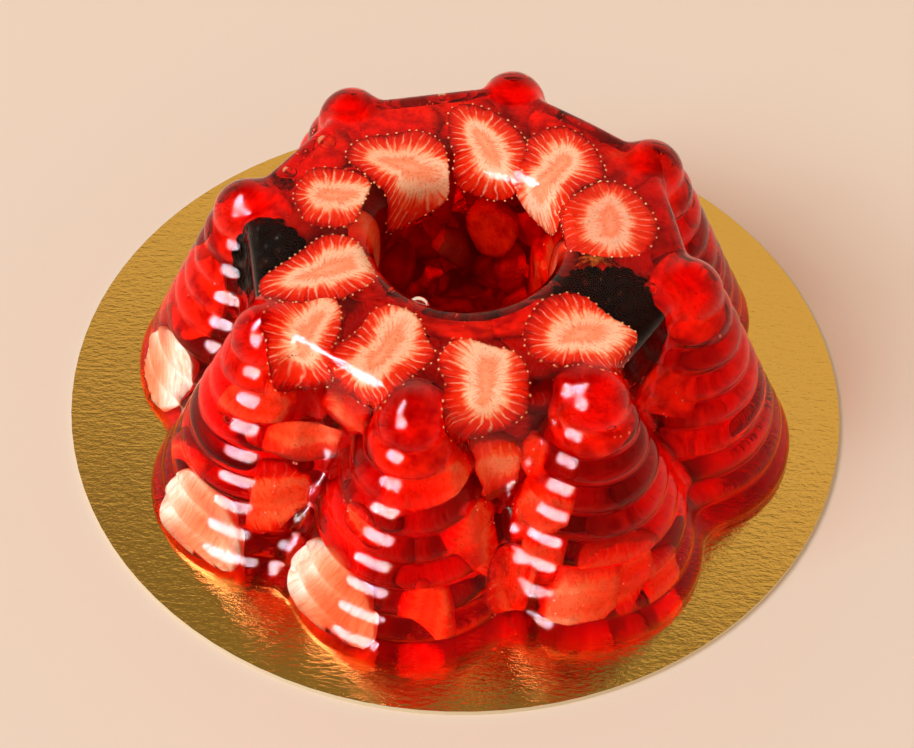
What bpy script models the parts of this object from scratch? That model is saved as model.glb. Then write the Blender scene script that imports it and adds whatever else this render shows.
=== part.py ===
"""A moulded fruit jelly on its round gold cake board.

The jelly is one solid. Its body is a shallow eight-sided block with a flat top and a
round hole down the middle. Eight lobes stand on the corners of that block. Each lobe is a
turned, stepped cone: a ball at the top, then eight rounded rings that widen to the foot.

The origin is at the middle of the board's underside. Z is up. Units are metres.
"""

import math

import bmesh
import bpy
from mathutils import Matrix

# The board, a round disc of laminated card.
BOARD_DIAMETER = 0.260
BOARD_THICKNESS = 0.002
BOARD_SIDES = 96

# Pieces that rest on each other keep this gap.
RESTING_GAP = 0.0003

# The jelly sits a little off the middle of the board.
JELLY_OFFSET_X = 0.0016
JELLY_OFFSET_Y = -0.0057
JELLY_BASE = BOARD_THICKNESS + RESTING_GAP

# The eight-sided body.
SIDE_COUNT = 8
TOP_HEIGHT = 0.0793
TOP_CORNER_RADIUS = 0.0721
FOOT_CORNER_RADIUS = 0.0780
TOP_EDGE_ROUND = 0.0026
TOP_EDGE_SEGMENTS = 3
# The direction of the first corner, measured from the X axis.
FIRST_CORNER = math.radians(-56.7)
CORNER_STEP = 2 * math.pi / SIDE_COUNT

# The hole. It narrows downwards, and its mouth is rounded over.
HOLE_MOUTH_RADIUS = 0.0295
HOLE_FOOT_RADIUS = 0.0235
HOLE_LIP_ROUND = 0.0070
HOLE_LIP_SEGMENTS = 6
HOLE_STEPS = 48
# How far above a true quarter round the lip's arc sits, so that it crosses the flat top.
HOLE_LIP_RAISE = 0.0002

# A lobe, measured from its own upright axis and from the jelly's base.
LOBE_AXIS_RADIUS = 0.0710
BALL_RADIUS = 0.0108
BALL_HEIGHT = 0.0711
BALL_SEGMENTS = 7
RING_COUNT = 8
RING_RELIEF = 0.0016
RING_SEGMENTS = 3
RINGS_TOP_RADIUS = 0.0107
RINGS_TOP_HEIGHT = 0.0693
RINGS_FOOT_RADIUS = 0.0403
LOBE_STEPS = 24

# How far the body, the lobes and the cutters run past the faces that trim them.
BODY_OVERRUN = 0.002
LOBE_OVERRUN = 0.003
CUTTER_OVERRUN = 0.005

SCREW_MERGE = 0.00001
SHARP_ANGLE = math.radians(60)

JELLY_RED = (0.62, 0.01, 0.01, 1.0)
BOARD_GOLD = (0.66, 0.40, 0.09, 1.0)


def clear_scene():
    """Removes whatever the file holds at the start."""
    for obj in list(bpy.data.objects):
        bpy.data.objects.remove(obj, do_unlink=True)


def new_collection(name):
    """Makes a collection of the scene."""
    collection = bpy.data.collections.new(name)
    bpy.context.scene.collection.children.link(collection)
    return collection


def new_material(name, colour, roughness, metallic=0.0, transmission=0.0):
    """Makes a Principled material."""
    material = bpy.data.materials.new(name)
    material.use_nodes = True
    material.diffuse_color = colour
    shader = material.node_tree.nodes["Principled BSDF"]
    shader.inputs["Base Color"].default_value = colour
    shader.inputs["Roughness"].default_value = roughness
    shader.inputs["Metallic"].default_value = metallic
    shader.inputs["Transmission Weight"].default_value = transmission
    return material


def new_object(name, mesh, collection):
    """Makes an object of a mesh in a collection."""
    obj = bpy.data.objects.new(name, mesh)
    collection.objects.link(obj)
    return obj


def as_helper(obj):
    """Keeps an object out of the model: it only joins or cuts another."""
    obj.hide_render = True
    obj.display_type = "WIRE"


def cone_mesh(name, sides, foot_radius, top_radius, foot_z, top_z, turn=0.0):
    """Makes an upright prism, tapered or straight, with its first corner at the given turn."""
    mesh = bpy.data.meshes.new(name)
    shape = bmesh.new()
    bmesh.ops.create_cone(
        shape,
        cap_ends=True,
        segments=sides,
        radius1=foot_radius,
        radius2=top_radius,
        depth=top_z - foot_z,
        matrix=Matrix.Rotation(turn, 4, "Z") @ Matrix.Translation((0, 0, (foot_z + top_z) / 2)),
    )
    shape.to_mesh(mesh)
    shape.free()
    return mesh


def turned_object(name, profile, steps, collection):
    """Makes a turned solid from (radius, height) points that run from the top to the foot."""
    mesh = bpy.data.meshes.new(name)
    points = [(radius, 0.0, height) for radius, height in profile]
    edges = [(index, index + 1) for index in range(len(points) - 1)]
    mesh.from_pydata(points, edges, [])
    obj = new_object(name, mesh, collection)
    screw = obj.modifiers.new("Turn", "SCREW")
    screw.axis = "Z"
    screw.steps = steps
    screw.render_steps = steps
    screw.use_merge_vertices = True
    screw.merge_threshold = SCREW_MERGE
    screw.use_smooth_shade = True
    return obj


def add_boolean(obj, other, operation):
    """Joins another object to this one, or cuts it from this one."""
    modifier = obj.modifiers.new(operation.title() + " " + other.name, "BOOLEAN")
    modifier.operation = operation
    modifier.solver = "EXACT"
    modifier.object = other


def shade_round(obj, material):
    """Gives an object its material, with smooth shading across its rounded edges."""
    obj.data.materials.append(material)
    obj.data.shade_smooth()
    obj.data.set_sharp_from_angle(angle=SHARP_ANGLE)


def ring_profile():
    """Works out the rings' outline: a straight taper with one rounded bulge for each ring."""
    count = RING_COUNT * RING_SEGMENTS
    points = []
    for index in range(count + 1):
        share = index / count
        within = (index % RING_SEGMENTS) / RING_SEGMENTS
        bulge = RING_RELIEF * (1 - (2 * within - 1) ** 2)
        radius = RINGS_TOP_RADIUS + (RINGS_FOOT_RADIUS - RINGS_TOP_RADIUS) * share
        points.append((radius + bulge, RINGS_TOP_HEIGHT * (1 - share)))
    return points


def ball_profile():
    """Works out the ball's outline, from its top to where the first ring starts."""
    lowest = math.asin((RINGS_TOP_HEIGHT - BALL_HEIGHT) / BALL_RADIUS)
    points = []
    for index in range(BALL_SEGMENTS):
        angle = math.pi / 2 + (lowest - math.pi / 2) * index / BALL_SEGMENTS
        points.append((BALL_RADIUS * math.cos(angle), BALL_HEIGHT + BALL_RADIUS * math.sin(angle)))
    points[0] = (0.0, BALL_HEIGHT + BALL_RADIUS)
    return points


def make_lobe(index, collection):
    """Makes one lobe as a helper that is joined to the body."""
    profile = ball_profile() + ring_profile()
    profile += [(RINGS_FOOT_RADIUS, -LOBE_OVERRUN), (0.0, -LOBE_OVERRUN)]
    lobe = turned_object(f"lobe_{index + 1}", profile, LOBE_STEPS, collection)
    angle = FIRST_CORNER + index * CORNER_STEP
    lobe.location = (
        JELLY_OFFSET_X + LOBE_AXIS_RADIUS * math.cos(angle),
        JELLY_OFFSET_Y + LOBE_AXIS_RADIUS * math.sin(angle),
        JELLY_BASE,
    )
    lobe.rotation_euler = (0, 0, angle)
    as_helper(lobe)
    return lobe


def make_hole_cutter(collection):
    """Makes the cutter for the hole: a tapered plug that flares over the rounded mouth."""
    arc_height = TOP_HEIGHT - HOLE_LIP_ROUND + HOLE_LIP_RAISE
    flare_radius = HOLE_MOUTH_RADIUS + HOLE_LIP_ROUND
    profile = [(0.0, TOP_HEIGHT + CUTTER_OVERRUN), (flare_radius, TOP_HEIGHT + CUTTER_OVERRUN)]
    for index in range(HOLE_LIP_SEGMENTS + 1):
        angle = math.pi / 2 * index / HOLE_LIP_SEGMENTS
        radius = flare_radius - HOLE_LIP_ROUND * math.sin(angle)
        profile.append((radius, arc_height + HOLE_LIP_ROUND * math.cos(angle)))
    profile += [(HOLE_FOOT_RADIUS, -CUTTER_OVERRUN), (0.0, -CUTTER_OVERRUN)]
    cutter = turned_object("hole_cutter", profile, HOLE_STEPS, collection)
    cutter.location = (JELLY_OFFSET_X, JELLY_OFFSET_Y, JELLY_BASE)
    as_helper(cutter)
    return cutter


def make_base_cutter(collection):
    """Makes the slab that trims the body and the lobes to one flat base."""
    mesh = cone_mesh(
        "base_cutter", SIDE_COUNT, BOARD_DIAMETER, BOARD_DIAMETER, -3 * CUTTER_OVERRUN, 0.0
    )
    cutter = new_object("base_cutter", mesh, collection)
    cutter.location = (JELLY_OFFSET_X, JELLY_OFFSET_Y, JELLY_BASE)
    as_helper(cutter)
    return cutter


def make_jelly(parts, cutters):
    """Makes the jelly: the body with its lobes, its hole and its flat base."""
    # The taper carries on below the base, where the trimming slab takes it off.
    slope = (FOOT_CORNER_RADIUS - TOP_CORNER_RADIUS) / TOP_HEIGHT
    mesh = cone_mesh(
        "jelly",
        SIDE_COUNT,
        FOOT_CORNER_RADIUS + slope * BODY_OVERRUN,
        TOP_CORNER_RADIUS,
        -BODY_OVERRUN,
        TOP_HEIGHT,
        FIRST_CORNER,
    )
    jelly = new_object("jelly", mesh, parts)
    jelly.location = (JELLY_OFFSET_X, JELLY_OFFSET_Y, JELLY_BASE)
    shade_round(jelly, new_material("red fruit jelly", JELLY_RED, 0.05, transmission=0.8))
    rounding = jelly.modifiers.new("Rounded edges", "BEVEL")
    rounding.width = TOP_EDGE_ROUND
    rounding.segments = TOP_EDGE_SEGMENTS
    for index in range(SIDE_COUNT):
        add_boolean(jelly, make_lobe(index, cutters), "UNION")
    add_boolean(jelly, make_hole_cutter(cutters), "DIFFERENCE")
    add_boolean(jelly, make_base_cutter(cutters), "DIFFERENCE")
    return jelly


def make_board(parts):
    """Makes the cake board, a plain round disc."""
    radius = BOARD_DIAMETER / 2
    mesh = cone_mesh("cake_board", BOARD_SIDES, radius, radius, 0.0, BOARD_THICKNESS)
    board = new_object("cake_board", mesh, parts)
    shade_round(board, new_material("gold laminated card", BOARD_GOLD, 0.25, metallic=0.9))
    return board


def main():
    """Builds the whole object."""
    clear_scene()
    parts = new_collection("moulded jelly")
    cutters = new_collection("cutters")
    make_board(parts)
    make_jelly(parts, cutters)


main()
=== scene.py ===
"""A moulded fruit jelly on its round gold cake board, in a plain studio.

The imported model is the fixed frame. Its board stays and is dressed in gold foil. Its jelly is
stood for by a finer one, which is clear, holds air bubbles, and has strawberries and dark berries
set in it. Sizes are in metres, written as millimetres times MM, and Z is up.
"""

import logging
import math
from collections.abc import Callable, Sequence
from dataclasses import dataclass, replace
from enum import Enum
from typing import Any

import bpy
import numpy as np
from mathutils import Matrix, Vector


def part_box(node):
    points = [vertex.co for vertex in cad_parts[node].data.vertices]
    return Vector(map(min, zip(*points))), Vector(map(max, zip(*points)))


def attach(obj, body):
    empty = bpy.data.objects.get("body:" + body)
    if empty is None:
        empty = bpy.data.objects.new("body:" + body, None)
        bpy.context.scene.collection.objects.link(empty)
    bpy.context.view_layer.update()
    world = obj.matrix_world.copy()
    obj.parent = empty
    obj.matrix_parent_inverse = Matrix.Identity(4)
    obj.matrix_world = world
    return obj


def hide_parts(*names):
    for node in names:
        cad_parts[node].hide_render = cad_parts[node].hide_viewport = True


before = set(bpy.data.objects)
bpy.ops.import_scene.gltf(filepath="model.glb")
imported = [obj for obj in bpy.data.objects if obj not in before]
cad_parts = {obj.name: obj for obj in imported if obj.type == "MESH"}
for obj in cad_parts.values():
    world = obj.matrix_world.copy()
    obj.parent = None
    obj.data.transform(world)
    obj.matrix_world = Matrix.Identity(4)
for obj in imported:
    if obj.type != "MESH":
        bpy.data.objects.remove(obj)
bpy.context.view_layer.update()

MM = 0.001
LOG = logging.getLogger("fruit_jelly")
Array = np.ndarray
Field = Callable[[Array], Array]


# ---------------------------------------------------------------------------------------------
# Colours, nodes and meshes
# ---------------------------------------------------------------------------------------------


def linear(code: str) -> tuple[float, float, float, float]:
    """Turns a colour from sRGB hex to linear.

    Args:
        code: Six hex digits.

    Returns:
        Red, green, blue and a full alpha. Each channel is the share over 12.92 where it is very
        dark, and otherwise ((share + 0.055) / 1.055) to the power of 2.4.
    """
    shares = [int(code[i : i + 2], 16) / 255 for i in (0, 2, 4)]
    red, green, blue = (s / 12.92 if s <= 0.04045 else ((s + 0.055) / 1.055) ** 2.4 for s in shares)
    return red, green, blue, 1.0


def add_node(
    tree: bpy.types.NodeTree,
    kind: str,
    inputs: dict[str | int, Any] | None = None,
    stops: Sequence[tuple[float, str]] = (),
    **choices: Any,
) -> bpy.types.Node:
    """Adds a node.

    Args:
        tree: The tree it goes into.
        kind: Its type, without the words that every shader node's type starts with.
        inputs: For a socket's name or number: its value, the output that feeds it, or the node
            whose result feeds it.
        stops: On a colour ramp, each stop's place and its colour as sRGB hex.
        **choices: Its options.

    Returns:
        The node.
    """
    node = tree.nodes.new("ShaderNode" + kind)
    for choice, value in choices.items():
        setattr(node, choice, value)
    for socket, value in (inputs or {}).items():
        if isinstance(value, bpy.types.Node):
            value = next(output for output in value.outputs if output.enabled)
        if isinstance(value, bpy.types.NodeSocket):
            tree.links.new(value, node.inputs[socket])
        else:
            node.inputs[socket].default_value = value
    for index, (place, code) in enumerate(stops):
        elements = node.color_ramp.elements
        element = elements[index] if index < 2 else elements.new(place)
        element.position = place
        element.color = linear(code)
    return node


def new_material(name: str) -> tuple[bpy.types.Material, bpy.types.NodeTree]:
    """Makes an empty material.

    Args:
        name: The real material's name.

    Returns:
        The material and its node tree.
    """
    material = bpy.data.materials.new(name)
    material.use_nodes = True
    material.node_tree.nodes.clear()
    return material, material.node_tree


@dataclass
class Shell:
    """One or more closed surfaces on their way to a mesh.

    points: each point's place. quads and triangles: the corners of the faces, as point numbers.
    chart: each point's place on the surface's own chart, which becomes the UV map. Its first
    number may be missing at a pole, where each face then takes its other corners' mean.
    """

    points: Array
    quads: Array
    triangles: Array
    chart: Array

    def moved(self, points: Array) -> "Shell":
        """Gives the same faces with the points elsewhere."""
        return Shell(points, self.quads, self.triangles, self.chart)

    def turned(self) -> "Shell":
        """Gives the same surface with its faces turned round."""
        return Shell(self.points, self.quads[:, ::-1], self.triangles[:, ::-1], self.chart)

    def outward(self) -> "Shell":
        """Gives the surface with its faces outwards.

        Returns:
            The shell itself, or the shell turned round if the sum of its faces' signed volumes
            is below zero.
        """
        halves = [self.triangles, self.quads[:, [0, 1, 2]], self.quads[:, [0, 2, 3]]]
        corners = self.points[np.concatenate(halves)]
        volume = np.einsum("ij,ij->i", corners[:, 0], np.cross(corners[:, 1], corners[:, 2])).sum()
        return self if volume > 0 else self.turned()

    @staticmethod
    def joined(shells: Sequence["Shell"]) -> "Shell":
        """Puts several shells into one.

        Args:
            shells: The shells.

        Returns:
            One shell with all their surfaces, each kept apart.
        """
        firsts = np.cumsum([0] + [len(s.points) for s in shells[:-1]])
        return Shell(
            np.concatenate([s.points for s in shells]),
            np.concatenate([s.quads + n for s, n in zip(shells, firsts)]),
            np.concatenate([s.triangles + n for s, n in zip(shells, firsts)]),
            np.concatenate([s.chart for s in shells]),
        )


def ring_quads(rows: int, columns: int, looped: bool) -> Array:
    """Numbers the corners of the faces between each ring of points and the next.

    Args:
        rows: How many rings there are.
        columns: How many points a ring has. Each ring is closed.
        looped: Whether the last ring joins the first.

    Returns:
        Four point numbers for each face.
    """
    row = np.arange(rows if looped else rows - 1)[:, None]
    column = np.arange(columns)[None, :]
    after, beside = (row + 1) % rows * columns, (column + 1) % columns
    row = row * columns
    return np.stack([row + column, row + beside, after + beside, after + column], -1).reshape(-1, 4)


def looped_shell(rings: Array) -> Shell:
    """Closes rings of points both ways, as on a ring cake.

    Args:
        rings: Points, as rows by columns by three.

    Returns:
        The closed surface, with its faces outwards.
    """
    rows, columns = rings.shape[:2]
    chart = np.stack(np.meshgrid(np.arange(columns), np.arange(rows)), -1).reshape(-1, 2)
    none = np.empty((0, 3), int)
    return Shell(rings.reshape(-1, 3), ring_quads(rows, columns, True), none, chart * 1.0).outward()


def capped_shell(points: Array, rows: int, chart: Array | None = None) -> Shell:
    """Closes rings of points with a pole at each end, as on a ball.

    Args:
        points: The points ring by ring, then the first pole and the last one.
        rows: How many rings there are.
        chart: Each point's place on the chart. A pole's first number isn't used.

    Returns:
        The closed surface, with its faces outwards.
    """
    count = len(points) - 2
    columns = count // rows
    column = np.arange(columns)
    beside = (column + 1) % columns
    first = np.stack([np.full(columns, count), beside, column], -1)
    last = np.stack([np.full(columns, count + 1), column, beside], -1)
    last[:, 1:] += count - columns
    chart = np.zeros((count + 2, 2)) if chart is None else chart.copy()
    chart[count:, 0] = np.nan
    ends = np.concatenate([first, last])
    return Shell(points, ring_quads(rows, columns, False), ends, chart).outward()


def new_piece(
    name: str,
    shell: Shell,
    origin: Array,
    material: bpy.types.Material,
    round_length: float = 0.0,
    tags: dict[str, Array] | None = None,
) -> bpy.types.Object:
    """Makes a shell an object that rides on the root body.

    Args:
        name: The piece's name.
        shell: Its surface.
        origin: Where the shell's own origin goes.
        material: Its material.
        round_length: How far the chart's first number goes in one turn. A face that crosses the
            chart's seam has its low corners raised by this, so that it stays narrow.
        tags: Values at each point, by attribute name.

    Returns:
        The object, at the origin, with its place in its mesh.
    """
    mesh = bpy.data.meshes.new(name)
    corners = np.concatenate([shell.quads.ravel(), shell.triangles.ravel()]).astype(np.int32)
    sizes = np.repeat([4, 3], [len(shell.quads), len(shell.triangles)]).astype(np.int32)
    mesh.vertices.add(len(shell.points))
    mesh.vertices.foreach_set("co", (shell.points + origin).astype(np.float32).ravel())
    mesh.loops.add(len(corners))
    mesh.loops.foreach_set("vertex_index", corners)
    mesh.polygons.add(len(sizes))
    starts = np.concatenate([[0], np.cumsum(sizes)[:-1]]).astype(np.int32)
    mesh.polygons.foreach_set("loop_start", starts)
    mesh.update(calc_edges=True)
    mesh.shade_smooth()
    across = shell.chart[corners].copy()
    split = shell.quads.size
    for part, width in ((across[:split], 4), (across[split:], 3)):
        u = part[:, 0].reshape(-1, width)
        if round_length:
            low = u < np.nanmax(u, 1, keepdims=True, initial=-1) - round_length / 2
            u[low] += round_length
        u[:] = np.where(np.isnan(u), np.nansum(u, 1, keepdims=True) / max(width - 1, 1), u)
    mesh.uv_layers.new(name="chart").data.foreach_set("uv", across.astype(np.float32).ravel())
    for tag, values in (tags or {}).items():
        attribute = mesh.attributes.new(tag, "FLOAT", "POINT")
        attribute.data.foreach_set("value", values.astype(np.float32))
    mesh.materials.append(material)
    piece = bpy.data.objects.new(name, mesh)
    bpy.context.scene.collection.objects.link(piece)
    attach(piece, "root")
    return piece


# ---------------------------------------------------------------------------------------------
# Shapes as fields: below zero inside, above zero outside, in metres
# ---------------------------------------------------------------------------------------------


def rounded_least(first: Array, second: Array, reach: Array | float) -> Array:
    """Joins two fields with a rounded corner.

    Args:
        first: One field's values.
        second: The other's.
        reach: How far apart the two may be and still be rounded into each other.

    Returns:
        The lesser value, less reach / 4 * (1 - difference / reach) squared where they are near.
    """
    near = np.clip(1 - np.abs(first - second) / reach, 0, None)
    return np.minimum(first, second) - reach * near**2 / 4


def rounded_most(first: Array, second: Array, reach: Array | float) -> Array:
    """Gives the greater of two fields with a rounded corner, as rounded_least does the lesser."""
    return -rounded_least(-first, -second, reach)


def surface_along(solid: Field, starts: Array, directions: Array, reach: float) -> Array:
    """Finds where rays leave a solid.

    Args:
        solid: The solid's field.
        starts: Where each ray starts, inside the solid.
        directions: Which way each goes, with a length of one.
        reach: How far along them is surely outside.

    Returns:
        The points. The stretch between inside and outside is halved until it is under a hair.
    """
    near = np.zeros(directions.shape[:-1])
    far = np.full_like(near, reach)
    for _ in range(20):
        middle = (near + far) / 2
        inside = solid(starts + directions * middle[..., None]) < 0
        near, far = np.where(inside, middle, near), np.where(inside, far, middle)
    return starts + directions * ((near + far) / 2)[..., None]


def ball_directions(rows: int, columns: int) -> Array:
    """Gives directions on rings from pole to pole.

    Args:
        rows: How many rings there are between the poles.
        columns: How many directions a ring has.

    Returns:
        Unit vectors ring by ring, (sin a cos b, sin a sin b, cos a), then the two poles.
    """
    fall = np.pi * np.arange(1, rows + 1)[:, None] / (rows + 1)
    turn = 2 * np.pi * np.arange(columns)[None, :] / columns
    level = np.sin(fall) * np.ones_like(turn)
    rings = np.stack([level * np.cos(turn), level * np.sin(turn), np.cos(fall) + 0 * turn], -1)
    return np.concatenate([rings.reshape(-1, 3), [[0, 0, 1.0], [0, 0, -1.0]]])


def ball_shell(place: Array, axes: Array, rows: int, columns: int) -> Shell:
    """Builds a ball, stretched along its axes.

    Args:
        place: Its middle.
        axes: Its three half axes, one in each row.
        rows: How many rings of points it has.
        columns: How many points a ring has.

    Returns:
        The closed surface: each direction's shares of the axes, summed, from the middle.
    """
    return capped_shell(ball_directions(rows, columns) @ axes + place, rows)


def soft_waves(points: Array, wavelength: float, seed: int) -> Array:
    """Makes a smooth uneven value between about -1 and 1.

    Args:
        points: Where it is wanted.
        wavelength: About how far apart its crests are.
        seed: Which pattern.

    Returns:
        The mean of seven sine waves that run in seeded directions, times 1.6.
    """
    random = np.random.default_rng(seed)
    ways = random.normal(size=(7, 3))
    ways *= 2 * np.pi / wavelength / np.linalg.norm(ways, axis=1, keepdims=True)
    ways *= random.uniform(0.7, 1.4, (7, 1))
    return 1.6 * np.sin(points @ ways.T + random.uniform(0, 2 * np.pi, 7)).mean(-1)


# ---------------------------------------------------------------------------------------------
# The jelly
# ---------------------------------------------------------------------------------------------


@dataclass(frozen=True)
class JellyShape:
    """The jelly's outside: an eight-sided block with a hole, and a stepped cone on each corner.

    Points are measured from the jelly's own axis and base. Its underside is at base, in
    millimetres, just under the foil's top, because the wet jelly clings to the foil. crinkled:
    the middle and the reach, in millimetres, of each place where half-melted jelly is crinkled.
    """

    top: float = 79.3 * MM
    top_corner: float = 72.8 * MM
    foot_corner: float = 78.0 * MM
    first_corner: float = math.radians(-56.7)
    corner_step: float = math.radians(45)
    edge_round: float = 4.5 * MM
    lobe_axis: float = 71.0 * MM
    ball_radius: float = 10.8 * MM
    ball_height: float = 71.1 * MM
    ring_count: int = 8
    ring_relief: float = 1.6 * MM
    rings_height: float = 69.3 * MM
    rings_top: float = 10.7 * MM
    rings_foot: float = 40.3 * MM
    foot_blend: float = 9.5 * MM
    top_blend: float = 3.0 * MM
    hole_foot: float = 23.5 * MM
    hole_mouth: float = 29.5 * MM
    lip_round: float = 8.2 * MM
    unevenness: float = 0.35 * MM
    unevenness_length: float = 45 * MM
    wrinkle: float = 0.14 * MM
    wrinkle_length: float = 11 * MM
    wrinkled_foot: float = 7 * MM
    crinkle: float = 0.4 * MM
    crinkle_length: float = 5.5 * MM
    crinkled: tuple[tuple[float, float, float, float], ...] = (
        (-55, -78, 6, 10),
        (25, -92, 10, 14),
    )
    base: float = -0.35

    def lobe(self, outward: Array, aside: Array, height: Array, relief: float) -> Array:
        """Works out one lobe's field.

        Args:
            outward: How far out from the lobe's own axis.
            aside: How far to its side.
            height: How far above the base.
            relief: How far each ring bulges.

        Returns:
            The lesser of a ball's field, whose shoulder is a little flattened, and that of a
            stepped cone. The cone's radius runs evenly from top to foot, plus
            relief * (1 - (2w - 1) squared) within each ring.
        """
        radius = np.hypot(outward, aside)
        share = np.clip(1 - height / self.rings_height, 0, 1.05)
        within = share * self.ring_count % 1
        slope = (self.rings_foot - self.rings_top) / self.rings_height
        cone = self.rings_top + slope * self.rings_height * share
        cone = radius - cone - relief * (1 - (2 * within - 1) ** 2)
        cone = np.maximum(cone * math.cos(math.atan(slope)), height - self.rings_height)
        rise = np.abs(height - self.ball_height)
        ball = (radius**1.8 + rise**1.8) ** (1 / 1.8) - self.ball_radius * 1.03
        return rounded_least(cone, ball, 1.0 * MM)

    def field(self, points: Array, rings: float = 1.0) -> Array:
        """Works out the jelly's field.

        Args:
            points: Where it is wanted.
            rings: What share of the rings' relief to count.

        Returns:
            The field: lobes and block joined with rounded corners that grow towards the foot,
            less the hole, with the slight unevenness of set jelly.
        """
        x, y, height = np.moveaxis(points, -1, 0)
        radius, turn = np.hypot(x, y), np.arctan2(y, x) - self.first_corner
        step = self.corner_step
        off_side = turn % step - step / 2
        rise = height / self.top
        corner = self.foot_corner + (self.top_corner - self.foot_corner) * rise
        side = radius * np.cos(off_side) - corner * math.cos(step / 2)
        solid = rounded_most(side, height - self.top, self.edge_round)
        blend = self.foot_blend + (self.top_blend - self.foot_blend) * np.clip(rise, 0, 1)
        for neighbour in (-1, 0, 1):
            off_lobe = (turn + step / 2) % step - step / 2 + neighbour * step
            outward = radius * np.cos(off_lobe) - self.lobe_axis
            lobe = self.lobe(outward, radius * np.sin(off_lobe), height, self.ring_relief * rings)
            solid = rounded_least(solid, lobe, blend)
        wall = self.hole_foot + (self.hole_mouth - self.hole_foot) * np.clip(rise, 0, 1.2)
        solid = rounded_most(solid, wall - radius, self.lip_round)
        wrinkle = self.wrinkle * np.exp(-np.clip(height, 0, None) / self.wrinkled_foot)
        solid = solid - wrinkle * soft_waves(points, self.wrinkle_length, 5)
        for *middle, reach in self.crinkled:
            off = np.linalg.norm(points - np.array(middle) * MM, axis=-1) / (reach * MM)
            crinkle = self.crinkle * np.exp(-(off**2))
            solid = solid - crinkle * soft_waves(points, self.crinkle_length, 8)
        return solid - self.unevenness * soft_waves(points, self.unevenness_length, 4)

    def outward_at(self, points: Array) -> Array:
        """Works out which way is out.

        Args:
            points: Where it is wanted.

        Returns:
            Unit vectors along the field's slope, with the rings left out.
        """
        reach = 0.4 * MM
        steps = np.eye(3) * reach
        ways = [self.field(points + s, 0.0) - self.field(points - s, 0.0) for s in steps]
        slope = np.stack(ways, -1)
        return slope / np.maximum(np.linalg.norm(slope, axis=-1, keepdims=True), 1e-9)

    def kept_inside(
        self, points: Array, cover: Array | float, lowest: float = 0.0, rings: float = 0.0
    ) -> Array:
        """Presses points in as the mould's wall presses fruit.

        Args:
            points: The fruit's points.
            cover: The least thickness of jelly over them.
            lowest: The least height above the base.
            rings: What share of the rings' relief the wall has.

        Returns:
            The points, moved inwards where they were less than cover under the surface.
        """
        for _ in range(4):
            over = np.clip(self.field(points, rings) + cover, 0, None)
            points = points - self.outward_at(points) * over[..., None]
            points[..., 2] = np.maximum(points[..., 2], lowest)
        return points

    def surface(self, columns: int) -> Shell:
        """Works out the jelly's outside.

        Args:
            columns: How many points there are round it.

        Returns:
            The closed surface. Rays leave a core inside the jelly: level towards the hole, in
            a fan over its lip, up to the flat top, in a fan over the balls, level to the rings.
        """
        # Each stretch of rays: how far out, how high and at what rise the first and the last
        # start, in millimetres and degrees, and how many there are.
        stretches = (
            ((45, self.base, 180), (45, 66, 180), 24),
            ((41, 68, 176), (41, 68, 90), 18),
            ((43, 66, 90), (58, 66, 90), 9),
            ((60, 63, 89), (60, 63, 1), 52),
            ((60, 62.5, 0), (60, self.base, 0), 96),
        )
        rays = np.concatenate([np.linspace(*stretch) for stretch in stretches])
        turn = 2 * np.pi * np.arange(columns) / columns
        around = np.stack([np.cos(turn), np.sin(turn)], -1)[None]
        core = rays[:, 0, None, None] * MM * around
        starts = np.concatenate([core, np.tile(rays[:, 1, None, None] * MM, (1, columns, 1))], -1)
        rise = np.radians(rays[:, 2])[:, None, None]
        up = np.tile(np.sin(rise), (1, columns, 1))
        directions = np.concatenate([np.cos(rise) * around, up], -1)
        outside = surface_along(self.field, starts, directions, 60 * MM)
        share = np.linspace(0, 1, 7)[1:-1, None, None]
        base = outside[-1] * (1 - share) + outside[0] * share
        return looped_shell(np.concatenate([outside, base]))


@dataclass(frozen=True)
class JellyFinish:
    """Set gelatine jelly, coloured a clear red and turned out of a smooth mould.

    It gives the eye a wet, glass-like skin over a red that deepens with depth: what lies just
    under the skin keeps its own colour, and what lies deep turns dark red.
    """

    index: float = 1.36
    roughness: float = 0.012
    shine: float = 0.15
    red_loss: float = 3.0
    green_loss: float = 170.0
    blue_loss: float = 260.0
    skin_grain: float = 4.5 * MM

    def material(self) -> bpy.types.Material:
        """Makes the material.

        Returns:
            A clear shader that bends what is behind it, with an absorbing volume. Rays that
            carry the lamps' light to the fruit go straight through its skin.
        """
        material, tree = new_material("set red gelatine jelly")
        place = add_node(tree, "TexCoord").outputs["Object"]
        grain = add_node(
            tree, "TexNoise", {"Scale": 1 / self.skin_grain, "Detail": 1.0, "Vector": place}
        )
        bump = add_node(tree, "Bump", {"Strength": 0.2, "Distance": 0.05 * MM, "Height": grain})
        skin = add_node(
            tree,
            "BsdfPrincipled",
            {
                "Base Color": (1.0, 1.0, 1.0, 1.0),
                "Roughness": self.roughness,
                "IOR": self.index,
                "Specular Tint": (self.shine, self.shine, self.shine, 1.0),
                "Transmission Weight": 1.0,
                "Normal": bump,
            },
        )
        rays = add_node(tree, "LightPath").outputs
        carries = add_node(
            tree, "Math", {0: rays["Is Shadow Ray"], 1: rays["Is Diffuse Ray"]}, operation="MAXIMUM"
        )
        through = add_node(tree, "BsdfTransparent")
        mix = add_node(tree, "MixShader", {0: carries, 1: skin, 2: through})
        losses = (self.red_loss, self.green_loss, self.blue_loss)
        kept = [1 - loss / max(losses) for loss in losses]
        depth = add_node(tree, "VolumeAbsorption", {"Color": (*kept, 1.0), "Density": max(losses)})
        add_node(tree, "OutputMaterial", {"Surface": mix, "Volume": depth})
        return material


# ---------------------------------------------------------------------------------------------
# The fruit
# ---------------------------------------------------------------------------------------------


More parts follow.
